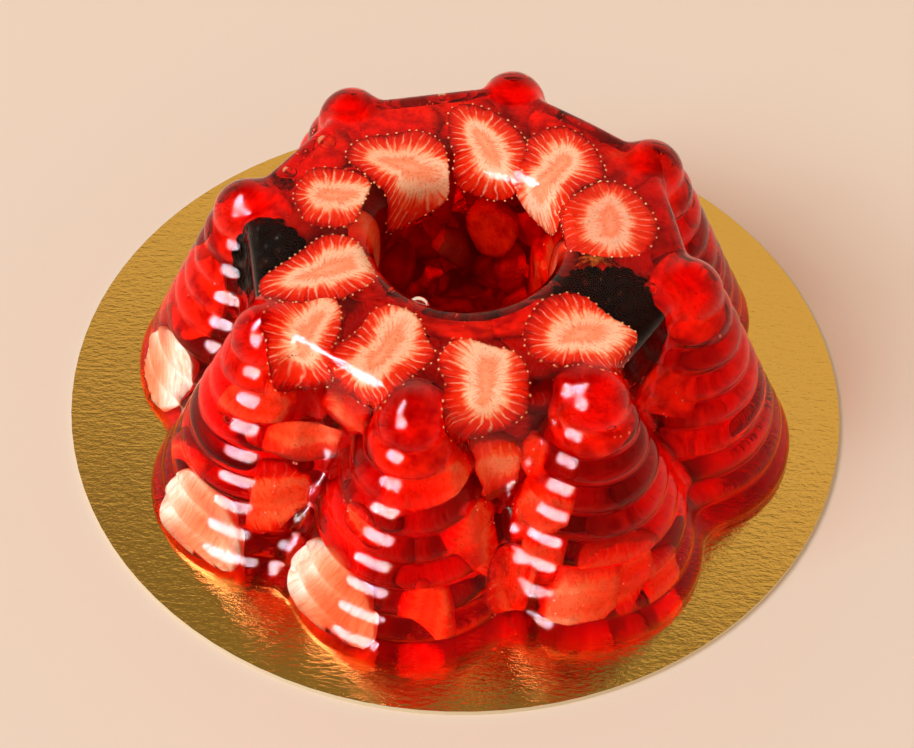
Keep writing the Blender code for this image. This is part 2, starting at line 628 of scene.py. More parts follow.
@dataclass(frozen=True)
class StrawberryFinish:
    """Ripe strawberry, cut with a knife.

    It gives the eye a pale, grainy core inside a cream band, red flesh crossed by fine cream
    veins that run out to the seeds, and a thin, dark skin. The chart's first number
    counts the veins. The second goes from 0 in the core to 1 at the skin, and past 1 on it. The
    attribute redness washes the flesh with an even red, and paleness with cream.
    """

    wander: float = 5 * MM
    grain: float = 0.9 * MM
    by_depth: tuple[tuple[float, str], ...] = (
        (0.0, "FFBC9A"),
        (1.0, "900A06"),
        (0.18, "FF9E74"),
        (0.32, "FFDCC0"),
        (0.43, "FFD6B4"),
        (0.53, "FF8256"),
        (0.61, "F03C1A"),
        (0.86, "DC1C0A"),
    )
    vein: str = "FFDCBC"
    deep_red: str = "B80C04"
    bright_red: str = "F8441A"
    even_pale: str = "FFFFF4"
    blush: str = "FFCDB2"
    let_through: str = "C0503C"

    def material(self) -> bpy.types.Material:
        """Makes the material.

        Returns:
            Flesh and skin colours by depth, veins where a count is whole, and a grainy bump. The
            lamps' light goes on through it, weaker and red, as through real flesh.
        """
        material, tree = new_material("ripe strawberry flesh and skin")
        place = add_node(tree, "TexCoord").outputs
        wander = add_node(
            tree, "TexNoise", {"Scale": 1 / self.wander, "Detail": 4.0, "Vector": place["Object"]}
        )
        # The chart, shifted a little so that no line runs straight.
        drift = add_node(
            tree,
            "VectorMath",
            {0: wander.outputs["Color"], 1: (0.5, 0.5, 0.5)},
            operation="SUBTRACT",
        )
        drift = add_node(tree, "VectorMath", {0: drift, 1: (0.9, 0.32, 0.0)}, operation="MULTIPLY")
        chart = add_node(tree, "VectorMath", {0: place["UV"], 1: drift}, operation="ADD")
        count, depth, _ = add_node(tree, "SeparateXYZ", {0: chart}).outputs
        fibres = add_node(tree, "VectorMath", {0: chart, 1: (2.6, 0.9, 0.0)}, operation="MULTIPLY")
        fibres = add_node(
            tree, "TexNoise", {"Scale": 1.0, "Detail": 3.0, "Roughness": 0.6, "Vector": fibres}
        )
        streaks = add_node(tree, "MapRange", {0: fibres, 1: 0.3, 2: 0.7, 3: -0.11, 4: 0.11})
        ripened = add_node(tree, "Math", {0: depth, 1: streaks}, operation="ADD")
        flesh = add_node(tree, "ValToRGB", {0: ripened}, self.by_depth)
        # How near the closest whole count is, against the veins' width at that depth.
        nearest = add_node(tree, "Math", {0: count, 1: 0.5}, operation="PINGPONG")
        width = add_node(tree, "MapRange", {0: depth, 1: 0.45, 2: 0.92, 3: 0.32, 4: 0.07})
        share = add_node(tree, "Math", {0: nearest, 1: width}, operation="DIVIDE")
        vein = add_node(
            tree,
            "MapRange",
            {0: share, 1: 0.05, 2: 1.0, 3: 1.0, 4: 0.0},
            interpolation_type="SMOOTHSTEP",
        )
        pale = add_node(tree, "Attribute", attribute_name="paleness").outputs["Fac"]
        red = add_node(tree, "Attribute", attribute_name="redness").outputs["Fac"]
        wash = add_node(tree, "Math", {0: pale, 1: red}, operation="ADD")
        # Veins begin outside the core, end before the skin, come in patches and fade in a wash.
        for limit in (
            {0: depth, 1: 0.40, 2: 0.54},
            {0: depth, 1: 0.97, 2: 0.84},
            {0: wander, 1: 0.38, 2: 0.66, 3: 0.0, 4: 0.75},
            {0: wash, 1: 0.0, 2: 0.6, 3: 1.0, 4: 0.0},
        ):
            shown = add_node(tree, "MapRange", limit)
            vein = add_node(tree, "Math", {0: vein, 1: shown}, operation="MULTIPLY")
        stops = [(0.32, self.blush), (0.56, self.even_pale)]
        even_pale = add_node(tree, "ValToRGB", {0: fibres}, stops)
        stops = [(0.36, self.deep_red), (0.60, self.bright_red)]
        even_red = add_node(tree, "ValToRGB", {0: wander}, stops)
        colour = flesh
        for share, over in ((vein, linear(self.vein)), (pale, even_pale), (red, even_red)):
            colour = add_node(tree, "Mix", {0: share, 6: colour, 7: over}, data_type="RGBA")
        speckle = add_node(
            tree,
            "TexNoise",
            {"Scale": 1 / self.grain, "Detail": 4.0, "Roughness": 0.7, "Vector": place["Object"]},
        )
        stops = [(0.34, "E0A894"), (0.50, "FFFFFF"), (0.68, "FFEADC")]
        mottle = add_node(tree, "ValToRGB", {0: speckle}, stops)
        mottled = add_node(tree, "MapRange", {0: pale, 3: 0.75, 4: 0.2})
        tinted = {0: mottled, 6: colour, 7: mottle}
        colour = add_node(tree, "Mix", tinted, data_type="RGBA", blend_type="MULTIPLY")
        bump = add_node(tree, "Bump", {"Strength": 0.4, "Distance": 0.3 * MM, "Height": speckle})
        surface = add_node(
            tree,
            "BsdfPrincipled",
            {
                "Base Color": colour,
                "Roughness": 0.5,
                "IOR": 1.4,
                "Specular IOR Level": 0.0,
                "Normal": bump,
            },
        )
        shadow = add_node(tree, "LightPath").outputs["Is Shadow Ray"]
        through = add_node(tree, "BsdfTransparent", {"Color": linear(self.let_through)})
        mix = add_node(tree, "MixShader", {0: shadow, 1: surface, 2: through})
        add_node(tree, "OutputMaterial", {"Surface": mix})
        return material


# How many points a half berry's outline has.
EDGE_POINTS = 96


@dataclass(frozen=True)
class HalfBerry:
    """A strawberry cut lengthwise, lying with its cut face up under the jelly's flat top.

    place: its middle, from the jelly's axis, in millimetres. tip: which way its tip points, in
    degrees. radii: how far its edge is from its middle every 30 degrees, from the tip round, in
    millimetres. stem: how far the pale core reaches towards the edge at the stem end, and
    redness: how red the core is, from 0 to 1. draped: whether it hangs down the jelly's side
    where it reaches past the top's edge. sunk: how far its cut face is under the top, and depth:
    how thick it is, in millimetres. vein_gap: how far apart its veins end, in metres.
    """

    place: tuple[float, float]
    tip: float
    radii: tuple[float, ...]
    stem: float = 0.45
    redness: float = 0.0
    sunk: float = 0.5
    draped: bool = False
    depth: float = 8.0
    vein_gap: float = 3.4 * MM

    def edge(self, columns: int) -> Array:
        """Works out the outline.

        Args:
            columns: How many points it has.

        Returns:
            Points by two, in metres, from the middle, with the tip along X. Between the given
            radii runs the smooth cubic curve through four neighbours.
        """
        turn = np.arange(columns) / columns
        at = turn * len(self.radii)
        low = np.floor(at).astype(int)
        t = at - low
        known = np.array(self.radii) * MM
        a, b, c, d = (known[(low + k) % len(known)] for k in (-1, 0, 1, 2))
        radius = b + t / 2 * (c - a + t * (2 * a - 5 * b + 4 * c - d + t * (3 * (b - c) + d - a)))
        return radius[:, None] * np.stack([np.cos(2 * np.pi * turn), np.sin(2 * np.pi * turn)], -1)

    def shell(self, shape: JellyShape) -> tuple[Shell, int]:
        """Builds the half berry.

        Args:
            shape: The jelly it is set in.

        Returns:
            Its surface, and how many veins meet its edge. Across the cut face the outline grows
            from the core: along the berry as the share to the power of 0.6, and across it as the
            share to the power of 1.1. The underside is half of a flattened ball.
        """
        edge = self.edge(EDGE_POINTS)
        length = np.linalg.norm(np.roll(edge, -1, 0) - edge, axis=1)
        veins = round(length.sum() / self.vein_gap)
        count = np.concatenate([[0], np.cumsum(length)[:-1]]) / length.sum() * veins
        edge = edge * (1 - 0.03 * np.cos(np.pi * count[:, None]) ** 8)
        face = np.linspace(0, 1, 25)[1:]
        under = np.linspace(1, 0, 13)[1:-1]
        share = np.concatenate([face, under])
        grown = np.stack([share**0.6, share**1.1], -1)
        grown[len(face) :] = under[:, None]
        flat = edge[None] * grown[:, None]
        drop = np.concatenate([0 * face, self.depth * MM * (1 - under**2.4) ** 0.6])
        drop = drop + 0.5 * MM * np.clip((share - 0.9) / 0.1, 0, 1) ** 2 * (drop == 0)
        turn = math.radians(self.tip)
        middle = np.array(self.place) * MM
        x = middle[0] + flat[..., 0] * math.cos(turn) - flat[..., 1] * math.sin(turn)
        y = middle[1] + flat[..., 0] * math.sin(turn) + flat[..., 1] * math.cos(turn)
        side = np.stack([x, y, np.full_like(x, shape.top - 10 * MM)], -1)
        past = np.clip(shape.field(side, 0.0) + 1.5 * MM, 0, None) * self.draped
        height = shape.top - self.sunk * MM - drop[:, None] - past
        rings = np.stack([x, y, height], -1).reshape(-1, 3)
        poles = [[*middle, height[row].mean()] for row in (0, -1)]
        off_stem = np.linspace(-180, 180, EDGE_POINTS, endpoint=False) / 42
        reach = 1 - self.stem * 0.6 * np.exp(-(off_stem**2))
        skin = np.tile(1.1 + 0.3 * (1 - under[:, None]), (1, EDGE_POINTS))
        depth = np.concatenate([face[:, None] * reach, skin])
        chart = np.stack(np.broadcast_arrays(count[None], depth), -1).reshape(-1, 2)
        chart = np.concatenate([chart, [[0, 0], [0, 1.4]]])
        shell = capped_shell(np.concatenate([rings, poles]), len(share), chart)
        cover = 0.4 * MM + 9 * MM * np.clip(shell.chart[:, 1] - 1, 0, None)
        return shell.moved(shape.kept_inside(shell.points, cover)), veins


class Cut(Enum):
    """How a strawberry was cut: the direction of each cut face and its distance from the middle.

    X is the main cut face's direction and Z the berry's axis. Distances are in berry widths.
    """

    HALF = ((1.0, 0.0, 0.0, 0.0),)
    QUARTER = ((1.0, 0.0, 0.0, 0.0), (0.0, 1.0, 0.0, 0.0))
    SLICE = ((1.0, 0.0, 0.0, 0.18), (-1.0, 0.0, 0.0, 0.18))
    BLOCK = ((1.0, 0.0, 0.1, 0.20), (-0.1, 0.1, 1.0, 0.34), (0.2, 0.1, -1.0, 0.34))
    WEDGE = ((1.0, 0.3, 0.0, 0.05), (-0.7, 1.0, 0.0, 0.10), (0.1, 0.5, 1.0, 0.36))
    CHUNK = (
        (1.0, 0.0, 0.0, 0.0),
        (0.1, 0.3, 1.0, 0.36),
        (0.1, -0.5, -1.0, 0.30),
        (0.0, 1.0, 0.4, 0.30),
        (0.2, -1.0, 0.2, 0.34),
    )


class Ripeness(Enum):
    """How much a piece's flesh is washed with an even red and with cream: (redness, paleness)."""

    PALE = (0.0, 1.0)
    DEEP = (1.0, 0.0)
    PINK = (0.12, 0.12)
    RED = (0.42, 0.0)


# The jelly over a piece: thin where its own colour shows, thicker where it shows as dark red.
COVERS = {Ripeness.PALE: 0.3, Ripeness.PINK: 1.6, Ripeness.RED: 2.6, Ripeness.DEEP: 3.5}


@dataclass(frozen=True)
class BerryPiece:
    """A cut strawberry somewhere in the jelly.

    place: its middle from the jelly's axis and base, in millimetres. length and width: the whole
    berry's, in millimetres. faces: the direction of its main cut face as a turn and a rise, and
    lean: how far its tip is turned up from level within that face, in degrees. rows: how many
    rings of points it has. vein_gap: how far apart its veins are along it, in millimetres.
    """

    place: tuple[float, float, float]
    length: float
    width: float
    faces: tuple[float, float]
    lean: float
    cut: Cut
    ripeness: Ripeness
    rows: int = 24
    vein_gap: float = 3.1

    def skin_radius(self, along: Array) -> Array:
        """Gives the whole berry's radius.

        Args:
            along: The place along its axis, from -0.5 at the stem end to 0.5 at the tip.

        Returns:
            The radius in metres: width / 2 * square root of (1 - s squared), narrowed towards
            the tip, where s goes from -1 to 1.
        """
        s = np.clip(along * 2, -1, 1)
        taper = 1 - 0.22 * s - 0.10 * s * s
        return self.width / 2 * MM * 1.08 * taper * np.clip(1 - np.abs(s) ** 2.6, 1e-6, 1) ** 0.5

    def field(self, points: Array) -> Array:
        """Works out the cut berry's field, from its middle and along its own axis."""
        x, y, z = np.moveaxis(points, -1, 0)
        size = self.length * MM
        along = z / size
        solid = rounded_most(
            (np.hypot(x, y) - self.skin_radius(along)) * 0.9, np.abs(z) - size / 2, 2 * MM
        )
        for a, b, c, d in self.cut.value:
            norm = math.sqrt(a * a + b * b + c * c)
            plane = (a * x + b * y + c * z) / norm - d * self.width * MM
            solid = rounded_most(solid, plane, 0.5 * MM)
        return solid

    def shell(self, shape: JellyShape) -> Shell:
        """Builds the piece.

        Args:
            shape: The jelly it is set in.

        Returns:
            Its surface, found along rays from its middle, then aimed, placed and pressed in.
        """
        middle = self.middle()
        ways = ball_directions(self.rows, self.rows * 3 // 2)
        points = surface_along(self.field, middle, ways, self.length * MM)
        x, y, z = points.T
        along = z / (self.length * MM)
        share = np.clip(np.hypot(x, y) / np.maximum(self.skin_radius(along), 1e-6), 0, 1.2)
        on_skin = np.hypot(x, y) > self.skin_radius(along) - 0.25 * MM
        share = np.where(on_skin, 1.15, share * 0.97)
        count = along * self.length / self.vein_gap + share * 0.6
        turn, rise, lean = (math.radians(a) for a in (*self.faces, self.lean))
        level = math.cos(rise)
        face = np.array([math.cos(turn) * level, math.sin(turn) * level, math.sin(rise)])
        level = np.array([-math.sin(turn), math.cos(turn), 0.0])
        axis = level * math.cos(lean) + np.cross(face, level) * math.sin(lean)
        aimed = np.stack([face, np.cross(axis, face), axis])
        placed = (points - middle) @ aimed + np.array(self.place) * MM
        cover = COVERS[self.ripeness] * MM
        pale = self.ripeness == Ripeness.PALE
        placed = shape.kept_inside(placed, cover, (2 if pale else 5.5) * MM, float(pale))
        return capped_shell(placed, self.rows, np.stack([count, share], -1))

    def middle(self) -> Array:
        """Gives a point well inside the cut berry, from the whole one's middle, in metres."""
        random = np.random.default_rng(3)
        tries = random.uniform(-0.5, 0.5, (600, 3)) * [self.width, self.width, self.length]
        tries = tries * MM
        return tries[self.field(tries) < 0].mean(0)


@dataclass(frozen=True)
class PatchedFinish:
    """A surface of two colours that fade into each other in patches.

    name: the real material's. patch: how wide a patch is, and detail: how ragged. fade: where in
    the pattern the first colour ends and the second begins. shine: the specular level.
    """

    name: str
    patch: float
    detail: float
    fade: tuple[float, float]
    colours: tuple[str, str]
    roughness: float
    shine: float

    def material(self) -> bpy.types.Material:
        """Makes the material."""
        material, tree = new_material(self.name)
        place = add_node(tree, "TexCoord").outputs["Object"]
        patches = add_node(
            tree, "TexNoise", {"Scale": 1 / self.patch, "Detail": self.detail, "Vector": place}
        )
        colour = add_node(tree, "ValToRGB", {0: patches}, list(zip(self.fade, self.colours)))
        surface = add_node(
            tree,
            "BsdfPrincipled",
            {"Base Color": colour, "Roughness": self.roughness, "Specular IOR Level": self.shine},
        )
        add_node(tree, "OutputMaterial", {"Surface": surface})
        return material


# Ripe, nearly black berry made of many glossy beads. It gives the eye black with fine glints.
DARK_SKIN = PatchedFinish(
    "ripe dark berry skin", 5 * MM, 3.0, (0.35, 0.75), ("030203", "0E0607"), 0.07, 0.08
)
# Strawberry seeds. They give the eye small cream and yellow dots.
SEED_HUSK = PatchedFinish(
    "strawberry seed husk", 3 * MM, 2.0, (0.35, 0.65), ("D89048", "FFE2B0"), 0.4, 0.1
)
# A withered strawberry leaf. It gives the eye a brown-green speck at the stem.
WITHERED_LEAF = PatchedFinish(
    "withered strawberry leaf", 1.5 * MM, 3.0, (0.35, 0.65), ("5A2A10", "B09A48"), 0.6, 0.0
)


@dataclass(frozen=True)
class FineBubblePaintedSparkleFinish:
    """Fine air bubbles in jelly. Their even white is painted sparkle: it stands in for the glints
    that real bubbles show as tiny white sparks, and the glint lamps add a little real reflection on
    top.
    """

    def material(self) -> bpy.types.Material:
        """Makes the material, an even white that is painted sparkle."""
        material, tree = new_material("fine air bubbles in jelly with painted white sparkle")
        surface = add_node(
            tree,
            "BsdfPrincipled",
            {"Base Color": linear("FFF6F0"), "Roughness": 0.3, "Specular IOR Level": 0.1},
        )
        add_node(tree, "OutputMaterial", {"Surface": surface})
        return material


@dataclass(frozen=True)
class LeafStub:
    """What is left of the leaves at a berry's stem: a small crown of short points."""

    place: tuple[float, float, float] = (41, -7, 76.6)
    radius: float = 4.4
    points: int = 7

    def shell(self) -> Shell:
        """Builds the stub.

        Returns:
            A thin flattened ball whose radius is stretched by 1 + 0.4 cos(points times the turn),
            and whose points curl down by 0.12 times the distance from the middle squared.
        """
        rows = 9
        ways = ball_directions(rows, 42)
        reach = 1 + 0.4 * np.cos(self.points * np.arctan2(ways[:, 1], ways[:, 0]))
        out = ways[:, :2] * reach[:, None] * self.radius * np.array([1.3, 0.6])
        height = ways[:, 2] * 0.6 - 0.12 * (out**2).sum(1)
        return capped_shell((np.column_stack([out, height]) + self.place) * MM, rows)


@dataclass(frozen=True)
class DarkBerry:
    """A large dark berry of many beads, pressed against the mould.

    place: its middle from the jelly's axis and base, and radii: its half sizes, in millimetres.
    turn: how far it is turned about the upright, in degrees.
    """

    place: tuple[float, float, float]
    radii: tuple[float, float, float]
    turn: float
    beads: int = 84
    bead_radius: float = 2.9

    def field(self, points: Array) -> Array:
        """Works out the berry's field: its solid middle and its beads, spread evenly over it."""
        number = np.arange(self.beads) + 0.5
        fall = np.arccos(1 - 2 * number / self.beads)
        spin = np.pi * (1 + math.sqrt(5)) * number
        level = np.sin(fall)
        ways = np.stack([level * np.cos(spin), level * np.sin(spin), np.cos(fall)], -1)
        radii = np.array(self.radii) * MM
        bead = self.bead_radius * MM
        body = (np.linalg.norm(points / radii, axis=-1) - 0.86) * radii.min()
        nearest = np.full(points.shape[:-1], 1.0)
        for centre in ways * (radii - bead * 0.9):
            nearest = np.minimum(nearest, np.linalg.norm(points - centre, axis=-1))
        return rounded_least(nearest - bead, body, 0.4 * MM)

    def shell(self, shape: JellyShape) -> Shell:
        """Builds the berry.

        Args:
            shape: The jelly it is set in.

        Returns:
            A smooth ball pressed in by the mould, with each point then moved in to the beads.
        """
        rows = 60
        ways = ball_directions(rows, 90)
        radii = np.array(self.radii) * MM
        beaded = surface_along(self.field, np.zeros(3), ways, 2 * radii.max())
        smooth = ways / np.linalg.norm(ways / radii, axis=1, keepdims=True)
        spin = np.array(Matrix.Rotation(math.radians(self.turn), 3, "Z")).T
        points = shape.kept_inside(smooth @ spin + np.array(self.place) * MM, 0.5 * MM)
        return capped_shell(points + (beaded - smooth) @ spin, rows)


# ---------------------------------------------------------------------------------------------
# The sub-assemblies
# ---------------------------------------------------------------------------------------------


@dataclass(frozen=True)
class Bubble:
    """An air bubble: its middle from the jelly's axis and base, and its radius, in millimetres."""

    place: tuple[float, float, float]
    radius: float
    flatness: float = 0.85

    def shell(self, rows: int, columns: int) -> Shell:
        """Builds the bubble as a hollow, so its faces point into it, away from the jelly."""
        axes = np.diag([1, 1, self.flatness]) * self.radius * MM
        return ball_shell(np.array(self.place) * MM, axes, rows, columns).turned()


@dataclass(frozen=True)
class MouldedJelly:
    """The clear jelly with the air bubbles in it."""

    shape: JellyShape
    finish: JellyFinish
    columns: int = 400
    big_bubbles: tuple[Bubble, ...] = (
        Bubble((-46, 42, 75), 3.4),
        Bubble((-32, 39, 77), 1.6),
        Bubble((-57, 27, 76), 2.6),
        Bubble((-14, -27, 74), 3.6),
        Bubble((57, -19, 75), 2.6),
        Bubble((-9, 64, 76), 2.4),
        Bubble((-70, -50, 46), 2.4),
        Bubble((44, -66, 67), 1.4),
        Bubble((-4, -89, 33), 1.4),
        Bubble((0, 33.5, 58), 2.7),
        Bubble((-16, 29, 56), 3.2),
    )
    tiny_count: int = 220

    def tiny_bubbles(self) -> list[Bubble]:
        """Scatters small bubbles just under the skin, at seeded places."""
        random = np.random.default_rng(31)
        tries = random.uniform([-108, -108, 3], [108, 108, 78], (20000, 3))
        depth = -self.shape.field(tries * MM) / MM
        tries = tries[(depth > 1.2) & (depth < 2.6)]
        tries = tries[: self.tiny_count]
        sizes = random.uniform(0.2, 0.62, len(tries)) ** 1.3
        return [Bubble(tuple(place), float(size)) for place, size in zip(tries, sizes)]

    def build(self, origin: Array) -> bpy.types.Object:
        """Builds the jelly.

        Args:
            origin: Where the jelly's axis meets its base.

        Returns:
            The piece, which stands for the frame's jelly.
        """
        shells = [self.shape.surface(self.columns)]
        shells += [bubble.shell(14, 20) for bubble in self.big_bubbles]
        shells += [bubble.shell(4, 6) for bubble in self.tiny_bubbles()]
        material = self.finish.material()
        piece = new_piece("jelly_body", Shell.joined(shells), origin, material)
        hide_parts("jelly")
        return piece


HALVES = (
    HalfBerry((-43, 15), -179, (12, 12, 14, 14, 14, 11, 11, 14, 13, 13, 14, 12), 1.0),
    HalfBerry((-21, 30), 167, (19, 13, 12, 14, 23, 22, 16, 15, 17, 17, 15, 18), 1.0, draped=True),
    HalfBerry((6, 40), 119, (22, 15, 12, 12, 18, 22, 19, 14, 13, 13, 14, 18), 0.3, draped=True),
    HalfBerry((28, 30), 52, (18, 21, 18, 13, 12, 15, 22, 24, 14, 12, 16, 16), 0.8, draped=True),
    HalfBerry((45, 8), 91, (18, 16, 16, 18, 19, 17, 16, 17, 16, 15, 14, 16), 0.5, redness=0.25),
    HalfBerry((35, -41), -149, (17, 14, 12, 17, 22, 18, 13, 13, 17, 18, 17, 17), 0.8),
    HalfBerry((7, -62), -94, (17, 18, 16, 13, 14, 16, 16, 20, 17, 12, 14, 16), 1.0, draped=True),
    HalfBerry((-24, -51), -120, (20, 18, 14, 13, 16, 15, 19, 20, 13, 12, 16, 19), 0.9, draped=True),
    HalfBerry((-47, -45), -112, (18, 17, 14, 10, 10, 13, 18, 14, 16, 15, 12, 14), 0.8, draped=True),
    HalfBerry((-44, -18), -155, (21, 16, 13, 13, 14, 17, 16, 17, 16, 12, 11, 14), 1.0),
)

PLACED = (
    # Under the balls.
    BerryPiece((-58, -38, 63), 27, 23, (-130, 70), 0, Cut.HALF, Ripeness.DEEP),
    BerryPiece((-14, -68, 63), 27, 23, (-100, 70), 20, Cut.HALF, Ripeness.DEEP),
    BerryPiece((38, -58, 63), 27, 23, (-60, 70), 10, Cut.HALF, Ripeness.DEEP),
    BerryPiece((-68, 14, 65), 27, 23, (-150, 70), 40, Cut.HALF, Ripeness.DEEP),
    BerryPiece((68, -14, 65), 27, 23, (-40, 70), 40, Cut.HALF, Ripeness.DEEP),
    BerryPiece((58, 38, 63), 27, 23, (-60, 70), 0, Cut.HALF, Ripeness.DEEP),
    BerryPiece((14, 68, 63), 27, 23, (-90, 70), 0, Cut.HALF, Ripeness.DEEP),
    BerryPiece((-38, 58, 63), 27, 23, (-110, 70), 0, Cut.HALF, Ripeness.DEEP),
    # The lobe at the left front.
    BerryPiece((-61, -46, 53), 28, 24, (-120, 25), 0, Cut.CHUNK, Ripeness.RED),
    BerryPiece((-47, -54, 42), 30, 20, (-95, 20), 180, Cut.WEDGE, Ripeness.PINK),
    BerryPiece((-56, -61, 23), 28, 26, (-100, 20), 20, Cut.CHUNK, Ripeness.RED),
    BerryPiece((-80, -60, 9), 36, 27, (-128, 22), -20, Cut.HALF, Ripeness.PALE),
    BerryPiece((-82, -42, 20), 24, 16, (-140, 20), 20, Cut.WEDGE, Ripeness.RED),
    # The one at the middle front.
    BerryPiece((-10, -73, 50), 36, 26, (-95, 20), 10, Cut.CHUNK, Ripeness.RED),
    BerryPiece((9, -61, 46), 22, 24, (-80, 20), 0, Cut.BLOCK, Ripeness.PINK),
    BerryPiece((-27, -82, 38), 17, 9, (-115, 20), -30, Cut.HALF, Ripeness.RED),
    BerryPiece((4, -79, 29), 32, 24, (-75, 20), 65, Cut.CHUNK, Ripeness.RED),
    BerryPiece((-37, -87, 10), 38, 27, (-125, 22), -25, Cut.HALF, Ripeness.PALE),
    BerryPiece((-8, -93, 12), 24, 20, (-90, 25), 80, Cut.CHUNK, Ripeness.PINK),
    BerryPiece((13, -85, 13), 24, 20, (-70, 25), 80, Cut.WEDGE, Ripeness.RED),
    # The one at the right front.
    BerryPiece((24, -61, 48), 26, 18, (-110, 20), 80, Cut.CHUNK, Ripeness.RED),
    BerryPiece((26, -73, 36), 34, 22, (-95, 20), 8, Cut.CHUNK, Ripeness.RED),
    BerryPiece((48, -77, 23), 30, 16, (-65, 20), -8, Cut.WEDGE, Ripeness.PINK),
    BerryPiece((38, -86, 10), 38, 28, (-75, 22), 8, Cut.CHUNK, Ripeness.PINK),
    BerryPiece((61, -76, 8), 24, 17, (-55, 25), 15, Cut.CHUNK, Ripeness.RED),
    BerryPiece((19, -83, 15), 26, 20, (-100, 25), 60, Cut.CHUNK, Ripeness.RED),
    BerryPiece((52, -80, 14), 24, 20, (-60, 25), 20, Cut.CHUNK, Ripeness.RED),
    BerryPiece((27, -77, 22), 24, 18, (-100, 25), 0, Cut.BLOCK, Ripeness.RED),
    # Under the hole's near lip.
    BerryPiece((0, -36, 70), 24, 14, (90, 60), 0, Cut.HALF, Ripeness.DEEP),
    BerryPiece((-19, -31, 70), 24, 14, (60, 60), 0, Cut.HALF, Ripeness.DEEP),
    BerryPiece((18, -31, 70), 24, 14, (120, 60), 0, Cut.HALF, Ripeness.DEEP),
    BerryPiece((-33, -16, 70), 24, 14, (30, 60), 0, Cut.HALF, Ripeness.DEEP),
    BerryPiece((0, -43, 62), 28, 22, (-90, 70), 0, Cut.HALF, Ripeness.RED),
    BerryPiece((-25, -33, 63), 26, 22, (-120, 70), 40, Cut.HALF, Ripeness.RED),
    BerryPiece((22, -37, 62), 26, 22, (-60, 70), -40, Cut.HALF, Ripeness.RED),
    # Under the top, behind the hole.
    BerryPiece((-24, 54, 69), 28, 22, (-90, 75), 10, Cut.HALF, Ripeness.DEEP),
    BerryPiece((-4, 60, 69), 28, 22, (-90, 75), -20, Cut.HALF, Ripeness.DEEP),
    BerryPiece((32, 55, 69), 28, 22, (-90, 75), 30, Cut.HALF, Ripeness.DEEP),
    BerryPiece((48, 38, 69), 26, 20, (-60, 75), 0, Cut.HALF, Ripeness.DEEP),
    BerryPiece((-50, 38, 69), 26, 20, (-90, 75), 50, Cut.HALF, Ripeness.DEEP),
    # The sides and the hole.
    BerryPiece((60, -29, 42), 26, 24, (-60, 20), 60, Cut.BLOCK, Ripeness.DEEP),
    BerryPiece((78, -4, 20), 34, 26, (-30, 25), 20, Cut.HALF, Ripeness.DEEP),
    BerryPiece((74, -24, 17), 30, 24, (-40, 25), -30, Cut.CHUNK, Ripeness.DEEP),
    BerryPiece((-86, 8, 40), 36, 28, (-165, 20), 60, Cut.HALF, Ripeness.DEEP),
    BerryPiece((-96, 0, 10), 34, 26, (-160, 20), 50, Cut.HALF, Ripeness.PALE),
    BerryPiece((33, 3, 58), 30, 16, (180, 0), 80, Cut.SLICE, Ripeness.PINK),
    BerryPiece((33, 14, 56), 28, 16, (-160, 0), 80, Cut.SLICE, Ripeness.RED),
    BerryPiece((-34, 7, 64), 20, 14, (0, 10), 60, Cut.SLICE, Ripeness.PALE),
)

# Where the jelly is left clear: x, y, z and reach, from its axis and base, in millimetres.
CLEAR = (
    (51, -66, 40, 14),
    (80, -16, 34, 16),
    (92, -32, 20, 16),
    (97, 22, 24, 16),
    (-68, -53, 34, 12),
    (-66, -43, 62, 8),
    (45, -64, 62, 10),
    (-31, -84, 34, 6),
    (4, -80, 43, 5),
    (-20, -88, 14, 6),
)


# How many rings a seed or a fine bubble has, and how many points a ring has.
SPECK = (3, 6)


